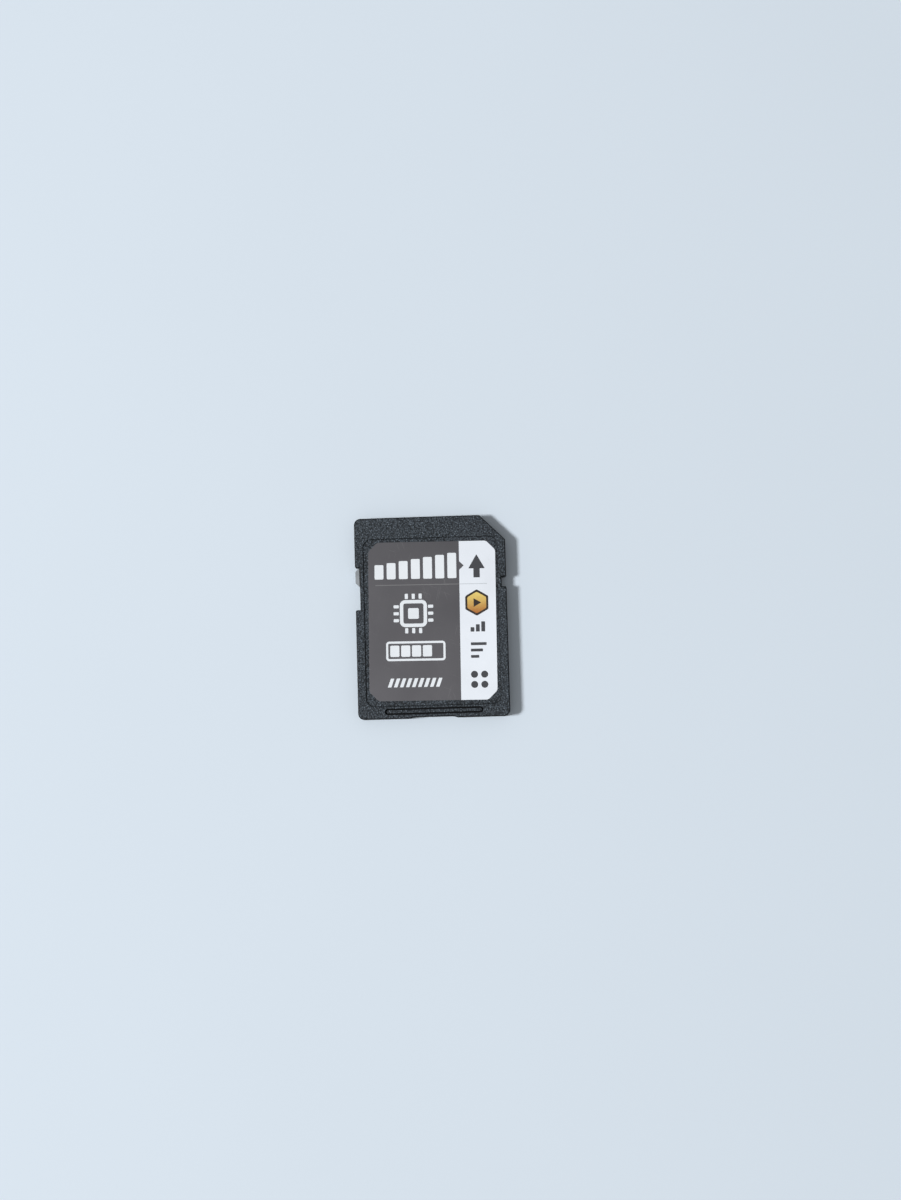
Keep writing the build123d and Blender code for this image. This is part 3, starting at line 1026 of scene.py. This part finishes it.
class CARD_OT_badge(bpy.types.Operator, PrintStep):
    """Prints the amber badge with its dark rim"""
    bl_idname = "card.badge"
    bl_label = "Amber Badge"
    bl_options = {"REGISTER", "UNDO"}

    def execute(self, context):
        colours = context.scene.card_colours
        middle = mm(7.05, 2.75)
        rim_reach = 2.1 * MM
        face_reach = 1.72 * MM
        rounding = 0.3 * MM
        rim = ink_hexagon("badge_rim", middle, self.heights(context), rim_reach, rounding)
        self.put(context, "badge_rim", [rim], self.ink(context, "badge_rim_ink", colours.badge_rim))
        face = ink_hexagon("badge_face", middle, self.heights(context, layer=1), face_reach, rounding)
        along = self.place_along(middle, context.scene.card_label.turn)
        amber = amber_finish("amber_ink", colours.amber_front, colours.amber_rear, along - face_reach,
                             along + face_reach)
        self.put(context, "badge_face", [face], amber)
        sign_base = (middle[0] - 0.5 * MM, middle[1])
        sign = ink_arrow_head("badge_sign", sign_base, self.heights(context, layer=2), half_width=0.69 * MM,
                              reach=1.2 * MM, turn=radians(-90.0))
        self.put(context, "badge_sign", [sign], self.ink(context, "badge_sign_ink", colours.badge_rim))
        return {"FINISHED"}

    def place_along(self, middle, turn):
        """Where a point of the label lies along the card."""
        point = Vector((middle[0], middle[1], 0.0))
        point.rotate(Euler((0.0, 0.0, turn)))
        return point.y + LABEL_MIDDLE.y


class CARD_OT_board(bpy.types.Operator):
    """Finishes the circuit board and what it carries"""
    bl_idname = "card.board"
    bl_label = "Board and Packages"
    bl_options = {"REGISTER", "UNDO"}

    def execute(self, context):
        colours = context.scene.card_colours
        dress("circuit_board", board_finish("green_board", colours.mask, colours.laminate_dark,
                                            colours.laminate_pale))
        for name in PADS:
            low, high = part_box(name)
            dress(name, gold_finish(name + "_gold", colours.gold, (low + high) / 2))
        resin = moulded_finish("black_resin", colours.resin, grain=0.06 * MM, roughness=0.55, painted_glint_shade=1.6)
        dress("flash_chip", resin)
        dress("controller_chip", resin)
        for names, core, axis in ((CAPACITORS, colours.capacitor, "Y"), (RESISTORS, colours.resistor, "X")):
            for name in names:
                low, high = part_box(name)
                dress(name, passive_finish(name + "_chip", core, colours.tin, (low + high) / 2, axis))
        return {"FINISHED"}


class CARD_OT_stage(bpy.types.Operator):
    """Sets the floor, the light and the camera"""
    bl_idname = "card.stage"
    bl_label = "Stage"
    bl_options = {"REGISTER", "UNDO"}

    def execute(self, context):
        stage = context.scene.card_stage
        self.lay_floor(stage)
        self.place_lamp(context, stage)
        self.fill_room(context, stage)
        self.place_camera(context, stage)
        context.scene.view_settings.view_transform = "Standard"
        return {"FINISHED"}

    def lay_floor(self, stage):
        """Pale floor just under the card, which fades into the room far from it."""
        deselect()
        bpy.ops.mesh.primitive_plane_add(size=stage.floor_size, location=(0.0, 0.0, -stage.floor_gap))
        floor = begin("floor")
        bpy.ops.mesh.subdivide(number_cuts=3)
        bpy.ops.object.mode_set(mode="OBJECT")
        paint(floor, self.floor_finish(stage))

    def floor_finish(self, stage):
        """Matt floor with a faint tone; its far part takes the room's colour where it is seen or mirrored."""
        tone_density = 14.0
        material, tree, shader = fresh_material("pale_floor")
        place = object_place(tree)
        tone = noise(tree, place, tone_density)
        give(tree, shader, {
            "Base Color": blend(tree, tone, shade(stage.floor, 0.985), shade(stage.floor, 1.015)),
            "Roughness": 0.9,
            "Specular IOR Level": 0.1,
        })
        away = node(tree, "VectorMath", {0: place}, operation="LENGTH").outputs["Value"]
        nearness = maths(tree, "DIVIDE", 1.0, away)
        far = ramp(tree, nearness, 1.0 / stage.fade_start, 1.0 / stage.fade_end)
        faded = times(tree, far, seen_ray(tree))
        glow = node(tree, "Emission", {"Color": solid(stage.floor)}).outputs["Emission"]
        mix = node(tree, "MixShader", {0: faded, 1: shader.outputs["BSDF"], 2: glow})
        give(tree, tree.nodes["Material Output"], {"Surface": mix.outputs["Shader"]})
        return material

    def place_lamp(self, context, stage):
        """Main lamp from the left."""
        direction = Vector((-cos(stage.key_height), 0.0, sin(stage.key_height)))
        direction.rotate(Euler((0.0, 0.0, stage.key_swing)))
        deselect()
        bpy.ops.object.light_add(type="AREA", location=direction * stage.key_distance)
        key = context.object
        key.name = "key_lamp"
        key.data.size = stage.key_size
        key.data.energy = stage.key_power
        key.rotation_euler = direction.to_track_quat("Z", "Y").to_euler()

    def fill_room(self, context, stage):
        """Even light from all round, which the camera and smooth faces see as a pale room."""
        wall_foot = 0.25
        wall_top = 0.8
        world = bpy.data.worlds.new("pale_room")
        world.use_nodes = True
        context.scene.world = world
        tree = world.node_tree
        tree.nodes.clear()
        even = node(tree, "Background", {"Color": (1.0, 1.0, 1.0, 1.0), "Strength": stage.fill}).outputs[0]
        rise = axis_of(tree, node(tree, "TexCoord").outputs["Generated"], "Z")
        room = blend(tree, ramp(tree, rise, wall_foot, wall_top), solid(stage.floor), solid(stage.ceiling))
        shown = node(tree, "Background", {"Color": room, "Strength": 1.0}).outputs[0]
        mix = node(tree, "MixShader", {0: seen_ray(tree), 1: even, 2: shown})
        node(tree, "OutputWorld", {"Surface": mix.outputs["Shader"]})

    def place_camera(self, context, stage):
        """Camera almost straight above the card."""
        nearest = 1.0 * MM
        farthest = 50.0
        aim = Vector((stage.aim_x, stage.aim_y, COVER_HIGH.z))
        tilt = Euler((stage.tilt, 0.0, 0.0)).to_matrix()
        pan = Euler((0.0, stage.pan, 0.0)).to_matrix()
        roll = Euler((0.0, 0.0, stage.roll)).to_matrix()
        turn = tilt @ pan @ roll
        place = aim + turn @ Vector((0.0, 0.0, stage.distance))
        deselect()
        bpy.ops.object.camera_add(location=place, rotation=turn.to_euler())
        camera = context.object
        camera.name = "camera"
        camera.data.lens = stage.lens
        camera.data.sensor_width = stage.sensor
        camera.data.clip_start = nearest
        camera.data.clip_end = farthest
        context.scene.camera = camera


class CARD_PT_panel(bpy.types.Panel):
    """Lists the steps that dress the card, and their settings"""
    bl_idname = "CARD_PT_panel"
    bl_label = "Memory Card"
    bl_space_type = "VIEW_3D"
    bl_region_type = "UI"
    bl_category = "Card"

    def draw(self, context):
        for step in STEPS:
            self.layout.operator(step.bl_idname)
        for group in SETTINGS:
            settings = getattr(context.scene, group)
            column = self.layout.box().column()
            for name in settings.__annotations__:
                column.prop(settings, name)


STEPS = (CARD_OT_covers, CARD_OT_label, CARD_OT_dark_marks, CARD_OT_white_marks, CARD_OT_badge,
         CARD_OT_board, CARD_OT_stage)
SETTINGS = {
    "card_colours": CardColours,
    "card_covers": CardCovers,
    "card_label": CardLabel,
    "card_stage": CardStage,
}
CLASSES = tuple(SETTINGS.values()) + STEPS + (CARD_PT_panel,)


def register():
    """Adds the classes and the settings to Blender."""
    for cls in CLASSES:
        bpy.utils.register_class(cls)
    for name, group in SETTINGS.items():
        setattr(bpy.types.Scene, name, PointerProperty(type=group))


def unregister():
    """Takes the classes and the settings out again."""
    for name in SETTINGS:
        delattr(bpy.types.Scene, name)
    for cls in reversed(CLASSES):
        bpy.utils.unregister_class(cls)


def main():
    """Dresses the card step by step."""
    register()
    bpy.ops.card.covers()
    bpy.ops.card.label()
    bpy.ops.card.dark_marks()
    bpy.ops.card.white_marks()
    bpy.ops.card.badge()
    bpy.ops.card.board()
    bpy.ops.card.stage()


if __name__ == "__main__":
    main()
